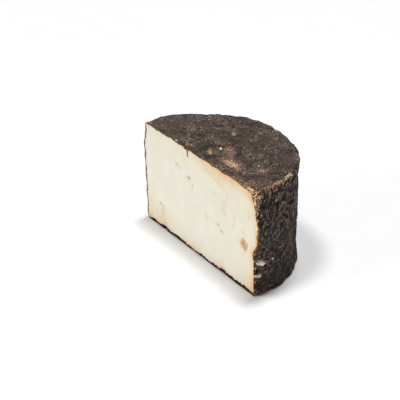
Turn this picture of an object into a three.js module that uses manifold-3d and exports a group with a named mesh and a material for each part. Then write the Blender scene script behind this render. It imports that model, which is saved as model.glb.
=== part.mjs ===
// Half a wheel of rustic farmhouse cheese, standing on its flat base with the cut face towards -Y.
// Millimetres, +Z up, the origin in the middle of the base. The long side of the cut runs along X.
import * as THREE from 'three';
import { mergeVertices } from 'three/addons/utils/BufferGeometryUtils.js';
import Module from 'manifold-3d';

const wasm = await Module();
wasm.setup();

// Driving dimensions
const wheelRadius = 95;
const rimHeight = 108.4;
const topCrown = 1.2; // how far the top's middle stands above its rim
const topTilt = 0.8; // how far the top rises from the cut to the back
const crownShift = 8; // the crown's summit lies this far towards +X
const cutPastMiddle = 1.2; // the knife left the wheel's axis this far inside the half
const topRimRadius = 3;
const wornRimRadius = 7; // the top rim is rubbed down next to the cut's +X edge
const wornRimTurn = 26; // degrees of turn over which that wear fades
const footRadius = 1.6;
const cutEdgeLift = 0.6; // the base rises this far along the cut, so its edge stands clear of the table
const cutEdgeReach = 5; // how far behind the cut that rise fades
const outOfRound = 1.5;
const outOfRoundLobes = 5;
const outOfRoundTurn = 115;

// How finely the surface is divided: rings from the middle to the rim, and rows from the base to the top
const rings = 19;
const rows = 24;
const ringCrowding = 0.28; // 0 spaces the rings evenly, more crowds them at the rim
const rowCrowding = 0.2;
const reliefDepthPower = 6; // relief of the rind dies out this fast towards the inside

// Swells and hollows of the side: turn in degrees from +X, height, their spreads, and the push outwards
const sideForms = [
  { turn: 0, height: 68, turnSpread: 22, heightSpread: 22, push: 4.6 }, // belly at the cut's +X edge
  { turn: 0, height: 8, turnSpread: 12, heightSpread: 24, push: -2.6 }, // foot drawn in below it
  { turn: 0, height: 106, turnSpread: 14, heightSpread: 12, push: -4 }, // shoulder rubbed down above it
  { turn: 0, height: 43, turnSpread: 8, heightSpread: 11, push: -2 }, // scar where the rind has come away
  { turn: 50, height: 22, turnSpread: 24, heightSpread: 14, push: -1.3 }, // waist above the foot
  { turn: 50, height: 50, turnSpread: 26, heightSpread: 48, push: -2.2 }, // flattened stretch of the side
  { turn: 52, height: 90, turnSpread: 32, heightSpread: 8, push: -1 }, // pinch under the top rim
  { turn: 50, height: 107, turnSpread: 22, heightSpread: 6, push: 0.5 }, // lip of the top rim
  { turn: 15, height: 2, turnSpread: 16, heightSpread: 10, push: 1.8 }, // toe of the foot
  { turn: 166, height: 108, turnSpread: 13, heightSpread: 30, push: 3.6 }, // lip of the top rim at the back
  { turn: 180, height: 104, turnSpread: 9, heightSpread: 12, push: -2.6 }, // shoulder at the cut's -X edge
  { turn: 104, height: 56, turnSpread: 40, heightSpread: 34, push: 1.6 }, // slack belly at the back
  { turn: 180, height: 70, turnSpread: 34, heightSpread: 30, push: 1.6 }, // belly at the cut's -X edge
  { turn: 180, height: 82, turnSpread: 16, heightSpread: 8, push: 1.1 }, // knob on that belly
];

// Long waves of the rind: the way they run, their length and depth
const sideWaves = [
  { heading: -38, length: 12, depth: 0.24, start: 0.4 },
  { heading: -57, length: 15.5, depth: 0.26, start: 2.1 },
  { heading: -74, length: 21, depth: 0.26, start: 4.4 },
  { heading: 14, length: 27, depth: 0.3, start: 1.2 },
];
const topWaves = [
  { heading: 18, length: 16, depth: 0.22, start: 0.9 },
  { heading: 76, length: 19, depth: 0.24, start: 3.3 },
  { heading: 133, length: 26, depth: 0.28, start: 5.1 },
];
const cutEdgeWaves = [
  { heading: 0, length: 17, depth: 0.3, start: 5.4 },
  { heading: 0, length: 39, depth: 0.4, start: 1.1 },
];

// Eyes and cracks that open in the cut face: place on the face and half sizes across, deep and high
const eyes = [
  { x: 77, z: 48.4, across: 4.4, deep: 3.2, high: 5.2 },
  { x: -15.6, z: 78.4, across: 2.2, deep: 1.2, high: 1.4 },
  { x: 38.4, z: 49.4, across: 1.8, deep: 1.2, high: 2.3 },
  { x: 61, z: 62, across: 1.5, deep: 1, high: 2.6 },
  { x: 43.2, z: 71, across: 1.5, deep: 1, high: 3.6 },
  { x: -38, z: 84.6, across: 3, deep: 1.1, high: 1.5 },
  { x: -8.4, z: 49.6, across: 1.4, deep: 0.9, high: 1.8 },
  { x: -61.5, z: 3.5, across: 2.4, deep: 3, high: 3.6 },
];

// Torn places in the rind of the side: turn, height, half sizes outwards, along the rind and upwards
const tears = [
  { turn: 0.8, height: 46, out: 2.6, along: 8.4, up: 9 },
  { turn: 3.8, height: 28.6, out: 3.2, along: 5.6, up: 4.2 },
  { turn: 10.5, height: 30, out: 1.8, along: 8.5, up: 3.6 },
];

// Flakes of rind that stand out beside those tears, and how deep their middles lie under the skin
const flakes = [
  { turn: 3.6, height: 34.8, out: 1.8, along: 5, up: 2, sink: 1 },
  { turn: 3.3, height: 21.4, out: 1.7, along: 5, up: 1.7, sink: 0.8 },
];

const degree = Math.PI / 180;
const fullTurn = 2 * Math.PI;

// A smooth hump, 1 at its centre
function hump(value, centre, spread) {
  return Math.exp(-(((value - centre) / spread) ** 2));
}

// The height of a sum of long waves at a point of a flat or unrolled surface
function waveHeight(waves, u, v) {
  let sum = 0;
  for (const wave of waves) {
    const along = u * Math.cos(wave.heading * degree) + v * Math.sin(wave.heading * degree);
    sum += wave.depth * Math.sin((fullTurn * along) / wave.length + wave.start);
  }
  return sum;
}

// Moves evenly spaced stations between -1 and 1 closer together at both ends
function crowd(station, crowding) {
  return station * (1 + crowding * (1 - station * station));
}

// Carries a point of the rectangle -1..1 by 0..1 to the half disc, as a share of its radius and a turn
function toHalfDisc(a, b) {
  if (Math.abs(a) > b) {
    const turn = (Math.PI / 4) * (b / Math.abs(a));
    return { share: Math.abs(a), turn: a > 0 ? turn : Math.PI - turn };
  }
  if (b === 0) return { share: 0, turn: 0 };
  return { share: b, turn: Math.PI / 2 - (Math.PI / 4) * (a / b) };
}

// How far the side stands out from a true cylinder
function sidePush(turn, height) {
  const lobes = Math.cos(outOfRoundLobes * (turn - outOfRoundTurn * degree));
  let push = outOfRound * Math.sin(turn) * lobes;
  for (const form of sideForms) {
    const across = hump(turn / degree, form.turn, form.turnSpread);
    push += form.push * across * hump(height, form.height, form.heightSpread);
  }
  return push;
}

function topRim(turn) {
  return topRimRadius + (wornRimRadius - topRimRadius) * hump(turn / degree, 0, wornRimTurn);
}

// Rounds the corner of the wheel's section between a flat end and the side
function roundCorner(radius, climb, rim) {
  const out = radius - (wheelRadius - rim);
  const up = climb + rim;
  if (out <= 0 || up <= 0) return { radius, climb };
  const scale = Math.max(out, up) / Math.hypot(out, up);
  return { radius: wheelRadius - rim + out * scale, climb: up * scale - rim };
}

function topLift(x, y) {
  const off = Math.hypot(x - crownShift, y) / wheelRadius;
  return topCrown * (1 - off * off) + (topTilt * y) / wheelRadius + waveHeight(topWaves, x, y);
}

// The base stays flat apart from a strip along the cut, between the two corners that carry it
function baseLift(x, y) {
  const betweenCorners = 1 - (x / wheelRadius) ** 4;
  const lift = Math.max(0, cutEdgeLift + waveHeight(cutEdgeWaves, x, 0));
  return lift * Math.max(0, betweenCorners) * Math.max(0, 1 - y / cutEdgeReach);
}

// Carries a point of the unit block to the half wheel
function shapePoint(a, b, c) {
  const disc = toHalfDisc(a, b);
  const level = (crowd(2 * c - 1, rowCrowding) + 1) / 2;
  let radius = crowd(disc.share, ringCrowding) * wheelRadius;
  let height = level * rimHeight;
  if (level > 0.5) {
    const corner = roundCorner(radius, height - rimHeight, topRim(disc.turn));
    radius = corner.radius;
    height = rimHeight + corner.climb;
  } else {
    const corner = roundCorner(radius, -height, footRadius);
    radius = corner.radius;
    height = -corner.climb;
  }
  const skin = (radius / wheelRadius) ** reliefDepthPower;
  const relief = waveHeight(sideWaves, disc.turn * wheelRadius, height);
  const reach = radius * (1 + sidePush(disc.turn, height) / wheelRadius) + skin * relief;
  const x = reach * Math.cos(disc.turn);
  const y = reach * Math.sin(disc.turn) * (1 + cutPastMiddle / wheelRadius);
  const share = height / rimHeight;
  const z = height + share ** 2 * topLift(x, y) + (1 - share) ** reliefDepthPower * baseLift(x, y);
  return new THREE.Vector3(x, y, z);
}

// Divides each four-cornered cell of a box geometry along the shorter of its two diagonals
function useShorterDiagonals(geometry) {
  const points = geometry.attributes.position;
  const index = geometry.index;
  const corner = (i) => new THREE.Vector3().fromBufferAttribute(points, i);
  for (let cell = 0; cell < index.count; cell += 6) {
    const [a, b, d] = [index.getX(cell), index.getX(cell + 1), index.getX(cell + 2)];
    const c = index.getX(cell + 4);
    if (corner(a).distanceTo(corner(c)) < corner(b).distanceTo(corner(d))) {
      [a, b, c, a, c, d].forEach((vertex, k) => index.setX(cell + k, vertex));
    }
  }
}

// The whole half wheel as one closed skin, before its eyes and tears are opened
function halfWheelGeometry() {
  const block = new THREE.BoxGeometry(2, 1, 1, 2 * rings, rings, rows);
  block.translate(0, 0.5, 0.5);
  const points = block.attributes.position;
  const snap = (value) => Math.round(value * 1e6) / 1e6;
  for (let i = 0; i < points.count; i += 1) {
    const placed = shapePoint(snap(points.getX(i)), snap(points.getY(i)), snap(points.getZ(i)));
    points.setXYZ(i, placed.x, placed.y, placed.z);
  }
  useShorterDiagonals(block);
  return block;
}

function ellipsoid(halfSizes) {
  return new THREE.SphereGeometry(1, 12, 8).scale(...halfSizes);
}

// A point of the side's skin, and the ellipsoid's axes turned to face it
function onSide(geometry, place, sink) {
  const turn = place.turn * degree;
  const reach = wheelRadius + sidePush(turn, place.height) - sink;
  geometry.rotateZ(turn);
  return geometry.translate(reach * Math.cos(turn), reach * Math.sin(turn), place.height);
}

function toSolid(geometry) {
  const bare = geometry.clone();
  bare.deleteAttribute('normal');
  bare.deleteAttribute('uv');
  const merged = mergeVertices(bare, 1e-4);
  return new wasm.Manifold(new wasm.Mesh({
    numProp: 3,
    vertProperties: new Float32Array(merged.attributes.position.array),
    triVerts: new Uint32Array(merged.index.array),
  }));
}

function toGeometry(solid) {
  const mesh = solid.getMesh();
  const geometry = new THREE.BufferGeometry();
  geometry.setAttribute('position', new THREE.BufferAttribute(mesh.vertProperties, 3));
  geometry.setIndex(new THREE.BufferAttribute(mesh.triVerts, 1));
  return geometry;
}

// Puts the origin in the middle of the base
function centreOnBase(geometry) {
  geometry.computeBoundingBox();
  const box = geometry.boundingBox;
  geometry.translate(-(box.min.x + box.max.x) / 2, -(box.min.y + box.max.y) / 2, -box.min.z);
  geometry.computeVertexNormals();
  return geometry;
}

function cheeseHalfWheel() {
  let solid = toSolid(halfWheelGeometry());
  for (const eye of eyes) {
    solid = solid.subtract(toSolid(ellipsoid([eye.across, eye.deep, eye.high]).translate(eye.x, 0, eye.z)));
  }
  for (const tear of tears) {
    solid = solid.subtract(toSolid(onSide(ellipsoid([tear.out, tear.along, tear.up]), tear, 0)));
  }
  for (const flake of flakes) {
    solid = solid.add(toSolid(onSide(ellipsoid([flake.out, flake.along, flake.up]), flake, flake.sink)));
  }
  return centreOnBase(toGeometry(solid));
}

const rindFinish = new THREE.MeshStandardMaterial({ color: 0x4a423b, roughness: 0.85, metalness: 0 });
const cheese = new THREE.Mesh(cheeseHalfWheel(), rindFinish);
cheese.name = 'cheese_half_wheel';

const model = new THREE.Group();
model.add(cheese);

export default model;
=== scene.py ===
"""Half a wheel of rustic farmhouse cheese, standing on its base on a pale floor.

One closed fine mesh stands for the CAD solid. It has the same form from the same sizes, with the wrinkles
of the rind, the torn places and flakes of the side and the eyes of the cut face worked in. Fields stored at
its points tell the two materials where the rind is stained and scuffed, where shade and highlights are
painted on it, and where the cut face shows the rind's section, cracks and other marks. The wheel's own
frame, in millimetres and degrees, has the cut in the plane y = 0, the base at z = 0 and the wheel's axis
at x = 0.
"""

import bmesh
import bpy
import numpy as np
from mathutils import Matrix, Vector


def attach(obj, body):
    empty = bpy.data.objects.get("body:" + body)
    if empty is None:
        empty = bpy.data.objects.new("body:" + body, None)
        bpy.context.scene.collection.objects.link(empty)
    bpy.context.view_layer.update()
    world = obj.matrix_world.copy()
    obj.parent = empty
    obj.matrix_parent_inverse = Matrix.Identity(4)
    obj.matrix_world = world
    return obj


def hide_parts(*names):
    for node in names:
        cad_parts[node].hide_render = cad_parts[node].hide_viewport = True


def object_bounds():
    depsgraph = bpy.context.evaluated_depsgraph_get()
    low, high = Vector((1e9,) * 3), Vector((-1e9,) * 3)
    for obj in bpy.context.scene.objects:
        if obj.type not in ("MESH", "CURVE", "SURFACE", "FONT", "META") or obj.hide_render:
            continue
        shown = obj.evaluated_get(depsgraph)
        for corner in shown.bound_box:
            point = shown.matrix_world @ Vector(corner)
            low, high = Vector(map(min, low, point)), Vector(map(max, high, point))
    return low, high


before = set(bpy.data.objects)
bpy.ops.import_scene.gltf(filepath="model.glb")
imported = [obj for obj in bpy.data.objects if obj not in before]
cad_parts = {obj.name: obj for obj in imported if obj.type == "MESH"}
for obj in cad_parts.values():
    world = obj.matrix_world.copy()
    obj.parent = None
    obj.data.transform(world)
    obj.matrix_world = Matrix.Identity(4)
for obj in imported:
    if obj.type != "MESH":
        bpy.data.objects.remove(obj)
cad_low, cad_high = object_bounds()

MM = 0.001
TINY = 1e-12  # keeps a division by zero away
FAR = 99.0  # stands for further than any distance that is looked for
NODE = "cheese_half_wheel"
WHEEL_AXIS_X = -0.594  # the wheel's axis in the CAD's frame, whose origin is in the middle of the whole base

# The form of the half wheel, as in the CAD
WHEEL_RADIUS = 95.0
RIM_HEIGHT = 108.4
TOP_CROWN = 1.2
TOP_TILT = 0.8
CROWN_SHIFT = 8.0
CUT_PAST_MIDDLE = 1.2
TOP_RIM_RADIUS = 3.0
WORN_RIM_RADIUS = 7.0
WORN_RIM_TURN = 26.0
FOOT_RADIUS = 1.6
CUT_EDGE_LIFT = 0.6
CUT_EDGE_REACH = 5.0
OUT_OF_ROUND = 1.5
OUT_OF_ROUND_LOBES = 5
OUT_OF_ROUND_TURN = 115.0
RELIEF_DEPTH_POWER = 6
RIM_MIDDLE = 0.3  # how far inside its corner a rounded rim's middle lies, as a share of its rounding

# Stations of the block that becomes the half wheel: from the middle to the rim, and up its height
RINGS = 92
ROWS = 132
BASE_STEP = 2  # the base is divided this many times more coarsely
RING_CROWDING = 0.28  # stations lie closer together at the rim, and at the foot and the top
ROW_CROWDING = 0.2

# Swells and hollows of the side: turn, height, spread of each, and the push outwards
SIDE_FORMS = [
    (0, 68, 22, 22, 4.6),  # belly at the cut's +X edge
    (0, 8, 12, 24, -2.6),  # foot drawn in below it
    (0, 106, 14, 12, -4),  # shoulder rubbed down above it
    (0, 43, 8, 11, -2),  # scar where the rind has come away
    (50, 22, 24, 14, -1.3),  # waist above the foot
    (50, 50, 26, 48, -2.2),  # flattened stretch of the side
    (52, 90, 32, 8, -1),  # pinch under the top rim
    (50, 107, 22, 6, 0.5),  # lip of the top rim
    (15, 2, 16, 10, 1.8),  # toe of the foot
    (166, 108, 13, 30, 3.6),  # lip of the top rim at the back
    (180, 104, 9, 12, -2.6),  # shoulder at the cut's -X edge
    (104, 56, 40, 34, 1.6),  # slack belly at the back
    (180, 70, 34, 30, 1.6),  # belly at the cut's -X edge
    (180, 82, 16, 8, 1.1),  # knob on that belly
]

# Long waves of the rind and of the base's cut edge: heading, length, depth, start
SIDE_WAVES = [(-38, 12, 0.24, 0.4), (-57, 15.5, 0.26, 2.1), (-74, 21, 0.26, 4.4), (14, 27, 0.3, 1.2)]
TOP_WAVES = [(18, 16, 0.22, 0.9), (76, 19, 0.24, 3.3), (133, 26, 0.28, 5.1)]
CUT_EDGE_WAVES = [(0, 17, 0.3, 5.4), (0, 39, 0.4, 1.1)]

# The rind's fine relief, which dies out within a few millimetres of the skin
FINE_RELIEF_POWER = 24
FOLD_HEADING = 47.0  # the side's wrinkles climb at this angle as the turn grows
FOLD_LENGTH = 9.0
FOLD_SPACING = 3.0
FOLD_DEPTH = 0.95
FOLD_SHARE = 0.6
FOLD_SWAY = 1.6  # how far the wrinkles wander sideways
FOLD_SWAY_LENGTH = 13.0
CREST_LENGTH = 5.5  # the crests are sharper than the wrinkles, and closer together
CREST_SPACING = 2.3
CREST_SHARE = 0.5
LUMP_SIZE = 6.0
LUMP_DEPTH = 0.3
SMOOTH_FOOT_HEIGHT = 19.0  # the side is smoother and calmer in colour below this height
SMOOTH_FOOT_SHARE = 0.35  # how much of the relief is left there
SMOOTH_FADE = (-6, 8)  # how far below and above that height the relief changes
CALM_FADE = (-4, 6)  # and the colour
TOP_LUMP_SIZE = 5.5
TOP_LUMP_DEPTH = 0.36
TOP_CREASE_SIZE = 3.6
TOP_CREASE_SHARE = 0.35
BASE_HOLLOW_SIZE = 9.0
BASE_HOLLOW_DEPTH = 0.6
BASE_HOLLOW_START = 0.1
RELIEF_OCTAVES = 3
SIDE_TO_TOP = (0.975, 0.995)  # shares of the height between which the top's looks take over from the side's
TOP_BEGINS = 0.985  # and where its relief does

# Torn places of the side: turn, height, half sizes along and up, depth
TEARS = [
    (0.8, 46, 9.5, 10.5, 1.5),
    (3.8, 28.4, 6.2, 4.6, 2.6),
    (10.5, 30, 8.5, 3.6, 1.8),
]
# Flakes beside them, which curl out at their far end: turn, height, half sizes along and up, height, lean
FLAKES = [
    (3.7, 35, 4.5, 2.6, 5.4, -13),
    (2.2, 21.4, 5.4, 2.0, 3.0, -13),
    (12.4, 33.6, 4.0, 2.4, 1.8, 10),
    (10.2, 27.6, 7.6, 1.5, 1.6, 8),
]
TEAR_RAGGED = (0.1925, 3.4)  # how ragged their borders are, and how large the ragged parts are
# A flake's height as a share of its full height: in its middle, gained towards its far end and its top, and
# its least, and the share of its way in from its border over which it rises
FLAKE_MIDDLE = 0.45
FLAKE_GAIN_ALONG = 0.5
FLAKE_GAIN_UP = -0.15
FLAKE_LEAST = 0.02
FLAKE_BORDER = 0.3

# Eyes that open in the cut face: x, z, half sizes across and up, depth, lean, how ochre their lining is
EYES = [
    (76.8, 48.2, 6.4, 6.4, 3.0, -14, 1.0),
    (-15.2, 78.2, 2.0, 1.5, 0.9, 20, 0.7),
    (34.4, 50.6, 2.2, 1.3, 0.8, 30, 0.6),
    (41, 45.2, 2.6, 1.2, 0.7, 0, 0.75),
    (44.2, 67.4, 2.8, 1.3, 0.7, 4, 0.2),
    (42.2, 76.6, 1.2, 2.4, 0.5, 0, 0.1),
    (59.8, 61.4, 1.6, 1.8, 0.6, 15, 0.2),
    (60.9, 68.8, 1.4, 2.0, 0.5, 0, 0.1),
    (-36.4, 84.5, 3.0, 1.5, 0.6, 15, 0.1),
    (14.3, 48.1, 1.4, 2.6, 0.5, 10, 0.1),
    (74.9, 59.4, 1.6, 2.8, 0.5, 20, 0.1),
    (-61.2, 1.6, 2.4, 3.6, 1.8, 0, 1.0),
    (-66.4, 26.8, 3.0, 1.1, 0.5, 0, 0.4),
]
# Where the cut face is finely torn and scribbled with yellowish lines and painted highlights: x, z, half
# sizes, lean, strength
SCRIBBLES = [
    (-15.2, 78.4, 5, 3, 20, 1.0),
    (-9.4, 72.4, 3.6, 3.4, 0, 0.6),
    (26.6, 80.2, 9, 3, 0, 0.4),
    (42.4, 77.2, 3, 5, 0, 0.55),
    (44.4, 68.4, 5.4, 4, 0, 0.7),
    (48, 83, 3, 8, -20, 0.35),
    (-8, 49.4, 3.4, 4, -20, 0.4),
    (14.3, 48.6, 3, 6, 10, 0.5),
    (33.8, 50.8, 4.4, 3.6, 0, 0.8),
    (40.6, 45.4, 4.6, 2.4, 0, 0.8),
    (59.8, 61.2, 4, 4, 0, 0.5),
    (61, 69, 3, 4, 0, 0.45),
    (76, 60, 6, 5, 20, 0.6),
    (68.6, 85, 2.6, 6, 0, 0.4),
    (-35.4, 84, 7, 4, -15, 0.7),
    (-42, 89, 4, 3, 0, 0.4),
    (-66.2, 26.6, 5, 3, 0, 1.0),
    (-65, 18, 4, 9, -16, 0.7),
    (-61, 5, 4, 6, 0, 1.0),
    (-90, 6, 6, 5, 0, 0.8),
    (85, 80, 3, 12, 0, 0.4),
    (78, 38, 6, 4, 0, 0.5),
]
# Pale stains that have soaked into the cut face: x, z, half sizes, lean, strength
YELLOW_STAINS = [
    (28, 100, 34, 8, -10, 0.55),
    (-70, 12, 18, 15, 20, 0.5),
    (-90, 16, 7, 18, 0, 0.6),
    (86, 10, 8, 16, 0, 0.6),
    (89, 44, 5, 12, 0, 0.5),
    (77, 47.5, 9, 9, 0, 0.5),
    (84, 84, 12, 12, 0, 0.3),
    (-20, 92, 14, 8, 0, 0.3),
    (36, 66, 16, 18, 0, 0.12),
]
EYE_FADE = 3.0  # an eye that opens at the base reaches this far behind the cut
EYE_RAGGEDNESS = 0.32
EYE_RAGGED_SIZE = 2.2
EYE_SLOPE = 0.55  # the share of its way in from its border over which an eye deepens

# The seed of each noise. Where a list has a noise for each of its entries, the first entry takes this seed.
SEEDS = {
    "sway": 21, "folds": 31, "crests": 37, "side_lumps": 41, "top_lumps": 51, "base_hollows": 55,
    "top_creases": 57, "tears": 61, "flakes": 71, "eyes": 81, "top_stains": 101, "side_stains": 151,
    "foot_warmth": 211,
}
STAIN_SEED_STEP = 10  # from one kind of stain to the next
# Numbers that scatter the values of neighbouring cells of a noise
CELL_STEPS = (127.1, 311.7, 74.7)
CELL_SPREAD = 43758.5453
NOISE_GAIN = 1.5
OCTAVE_TURN = (0.8, 0.6)  # cosine and sine of the angle by which each finer layer of a noise is turned


def hump(value, centre, spread):
    """A smooth hump, 1 at its centre."""
    return np.exp(-(((value - centre) / spread) ** 2))


def smooth_step(value, low, high):
    """A smooth rise from 0 at low to 1 at high."""
    share = np.clip((value - low) / (high - low), 0, 1)
    return share * share * (3 - 2 * share)


def hashed(cell_u, cell_v, seed):
    """A number between 0 and 1 for each cell of a plane, the same in every run."""
    step_u, step_v, step_seed = CELL_STEPS
    mixed = np.sin(cell_u * step_u + cell_v * step_v + seed * step_seed) * CELL_SPREAD
    return mixed - np.floor(mixed)


def plane_noise(u, v, seed):
    """Smooth noise between about -1 and 1 over a plane, its features about one unit across."""
    cell_u, cell_v = np.floor(u), np.floor(v)
    off_u, off_v = u - cell_u, v - cell_v
    slopes = []
    for step_v in (0, 1):
        for step_u in (0, 1):
            angle = 2 * np.pi * hashed(cell_u + step_u, cell_v + step_v, seed)
            slopes.append(np.cos(angle) * (off_u - step_u) + np.sin(angle) * (off_v - step_v))
    fade_u, fade_v = (off**3 * (off * (off * 6 - 15) + 10) for off in (off_u, off_v))
    low = slopes[0] + (slopes[1] - slopes[0]) * fade_u
    high = slopes[2] + (slopes[3] - slopes[2]) * fade_u
    return NOISE_GAIN * (low + (high - low) * fade_v)


def rough_noise(u, v, size, octaves, seed):
    """Noise whose largest features are size mm across, with octaves - 1 finer layers on it."""
    cosine, sine = OCTAVE_TURN
    total, depth = 0.0, 1.0
    for octave in range(octaves):
        total = total + depth * plane_noise(u / size, v / size, seed + octave)
        u, v = cosine * u - sine * v, sine * u + cosine * v
        size, depth = size / 2, depth / 2
    return total


def turned(u, v, heading):
    """A plane's coordinates along and across a heading."""
    angle = np.radians(heading)
    return u * np.cos(angle) + v * np.sin(angle), v * np.cos(angle) - u * np.sin(angle)


def wave_height(waves, u, v):
    """The height of crossing long waves at each point of a plane."""
    total = 0.0
    for heading, length, depth, start in waves:
        along, _ = turned(u, v, heading)
        total = total + depth * np.sin(2 * np.pi * along / length + start)
    return total


def crowd(place, crowding):
    """Moves evenly spaced places between -1 and 1 closer together at both ends."""
    return place * (1 + crowding * (1 - place * place))


def to_half_disc(a, b):
    """Carries points of the rectangle -1..1 by 0..1 to the half disc: a share of its radius and a turn."""
    wide = np.abs(a) > b
    share = np.where(wide, np.abs(a), b)
    slant = np.where(wide, b, a) / np.maximum(share, TINY)
    beside = np.pi / 4 * slant
    turn = np.where(wide, np.where(a > 0, beside, np.pi - beside), np.pi / 2 - beside)
    return share, turn


def side_push(turn, height):
    """How far the side stands out from a true cylinder."""
    lobes = np.cos(OUT_OF_ROUND_LOBES * (turn - np.radians(OUT_OF_ROUND_TURN)))
    push = OUT_OF_ROUND * np.sin(turn) * lobes
    for form_turn, form_height, turn_spread, height_spread, depth in SIDE_FORMS:
        across = hump(np.degrees(turn), form_turn, turn_spread)
        push = push + depth * across * hump(height, form_height, height_spread)
    return push


def round_corner(radius, climb, rim):
    """Rounds the corner of the wheel's section between a flat end and the side."""
    out = radius - (WHEEL_RADIUS - rim)
    up = climb + rim
    inside = (out <= 0) | (up <= 0)
    scale = np.where(inside, 1, np.maximum(out, up) / np.maximum(np.hypot(out, up), TINY))
    rounded_radius = WHEEL_RADIUS - rim + out * scale
    return np.where(inside, radius, rounded_radius), np.where(inside, climb, up * scale - rim)


def wheel_section(share, level, turn):
    """The radius and height of points of the wheel's rounded section, and its top rim's rounding."""
    radius = crowd(share, RING_CROWDING) * WHEEL_RADIUS
    height = level * RIM_HEIGHT
    rim = TOP_RIM_RADIUS + (WORN_RIM_RADIUS - TOP_RIM_RADIUS) * hump(np.degrees(turn), 0, WORN_RIM_TURN)
    top_radius, top_climb = round_corner(radius, height - RIM_HEIGHT, rim)
    foot_radius, foot_climb = round_corner(radius, -height, FOOT_RADIUS)
    upper = level > 0.5
    radius = np.where(upper, top_radius, foot_radius)
    height = np.where(upper, RIM_HEIGHT + top_climb, -foot_climb)
    return radius, height, rim


def top_lift(x, y):
    """How far the crowned, tilted and wavy top stands over the rim's height."""
    off = np.hypot(x - CROWN_SHIFT, y) / WHEEL_RADIUS
    return TOP_CROWN * (1 - off**2) + TOP_TILT * y / WHEEL_RADIUS + wave_height(TOP_WAVES, x, y)


def base_lift(x, y):
    """The base stays flat apart from a strip along the cut, between the two corners that carry it."""
    lift = np.maximum(0, CUT_EDGE_LIFT + wave_height(CUT_EDGE_WAVES, x, 0 * x))
    return lift * np.maximum(0, 1 - (x / WHEEL_RADIUS) ** 4) * np.maximum(0, 1 - y / CUT_EDGE_REACH)


def above_foot(height, fade):
    """0 on the smooth foot of the side and 1 above it, with the fade around the foot's height."""
    below, above = fade
    return smooth_step(height, SMOOTH_FOOT_HEIGHT + below, SMOOTH_FOOT_HEIGHT + above)


def side_relief(turn, height):
    """The fine relief of the side: folds that climb askew, broken into lumps, and calmer at the foot."""
    u = turn * WHEEL_RADIUS
    along, across = turned(u, height, FOLD_HEADING)
    sway = plane_noise(u / FOLD_SWAY_LENGTH, height / FOLD_SWAY_LENGTH, SEEDS["sway"])
    across = across + FOLD_SWAY * sway
    folds = plane_noise(along / FOLD_LENGTH, across / FOLD_SPACING, SEEDS["folds"])
    crests = 1 - 3 * np.abs(plane_noise(along / CREST_LENGTH, across / CREST_SPACING, SEEDS["crests"]))
    lumps = rough_noise(u, height, LUMP_SIZE, RELIEF_OCTAVES, SEEDS["side_lumps"])
    share = SMOOTH_FOOT_SHARE + (1 - SMOOTH_FOOT_SHARE) * above_foot(height, SMOOTH_FADE)
    return share * (FOLD_DEPTH * (FOLD_SHARE * folds + CREST_SHARE * crests) + LUMP_DEPTH * lumps)


def top_relief(x, y):
    """The fine relief of the top: lumps, with creases between them."""
    lumps = rough_noise(x, y, TOP_LUMP_SIZE, RELIEF_OCTAVES, SEEDS["top_lumps"])
    creases = 1 - 2 * np.abs(plane_noise(x / TOP_CREASE_SIZE, y / TOP_CREASE_SIZE, SEEDS["top_creases"]))
    return TOP_LUMP_DEPTH * (lumps + TOP_CREASE_SHARE * creases)


def base_hollows(x, y):
    """The small ragged hollows of the base, which show along its edge."""
    lumps = rough_noise(x, y, BASE_HOLLOW_SIZE, RELIEF_OCTAVES, SEEDS["base_hollows"])
    return np.maximum(0, BASE_HOLLOW_DEPTH * lumps - BASE_HOLLOW_START)


def oval_reach(u, v, oval):
    """How far points lie from the middle of an oval, as a share of the way to its border."""
    centre_u, centre_v, along, across, lean = oval
    off_u, off_v = turned(u - centre_u, v - centre_v, lean)
    return np.hypot(off_u / along, off_v / across)


def ragged_reach(u, v, oval, raggedness, size, seed):
    """The reach in an oval whose border is ragged."""
    return oval_reach(u, v, oval) + raggedness * rough_noise(u, v, size, 2, seed)


def on_rind(turn_degrees):
    """The distance round the rind that a turn makes."""
    return np.radians(turn_degrees) * WHEEL_RADIUS


def tear_level(turn, height):
    """The height of the torn places and their flakes over the skin, and how torn each point is."""
    u = turn * WHEEL_RADIUS
    level, torn = 0 * u, 0 * u
    for number, (tear_turn, tear_height, along, up, depth) in enumerate(TEARS):
        oval = (on_rind(tear_turn), tear_height, along, up, 0)
        reach = ragged_reach(u, height, oval, *TEAR_RAGGED, SEEDS["tears"] + number)
        dome = np.maximum(0, 1 - reach**2)
        level, torn = np.minimum(level, -depth * dome), np.maximum(torn, dome)
    for number, (flake_turn, flake_height, along, up, out, lean) in enumerate(FLAKES):
        oval = (on_rind(flake_turn), flake_height, along, up, lean)
        reach = ragged_reach(u, height, oval, *TEAR_RAGGED, SEEDS["flakes"] + number)
        onward, climb = turned(u - on_rind(flake_turn), height - flake_height, lean)
        curl = FLAKE_MIDDLE + FLAKE_GAIN_ALONG * onward / along + FLAKE_GAIN_UP * climb / up
        raised = out * np.clip(curl, FLAKE_LEAST, 1)
        level = level + (raised - level) * smooth_step(1 - reach, 0, FLAKE_BORDER)
    return level, torn


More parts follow.
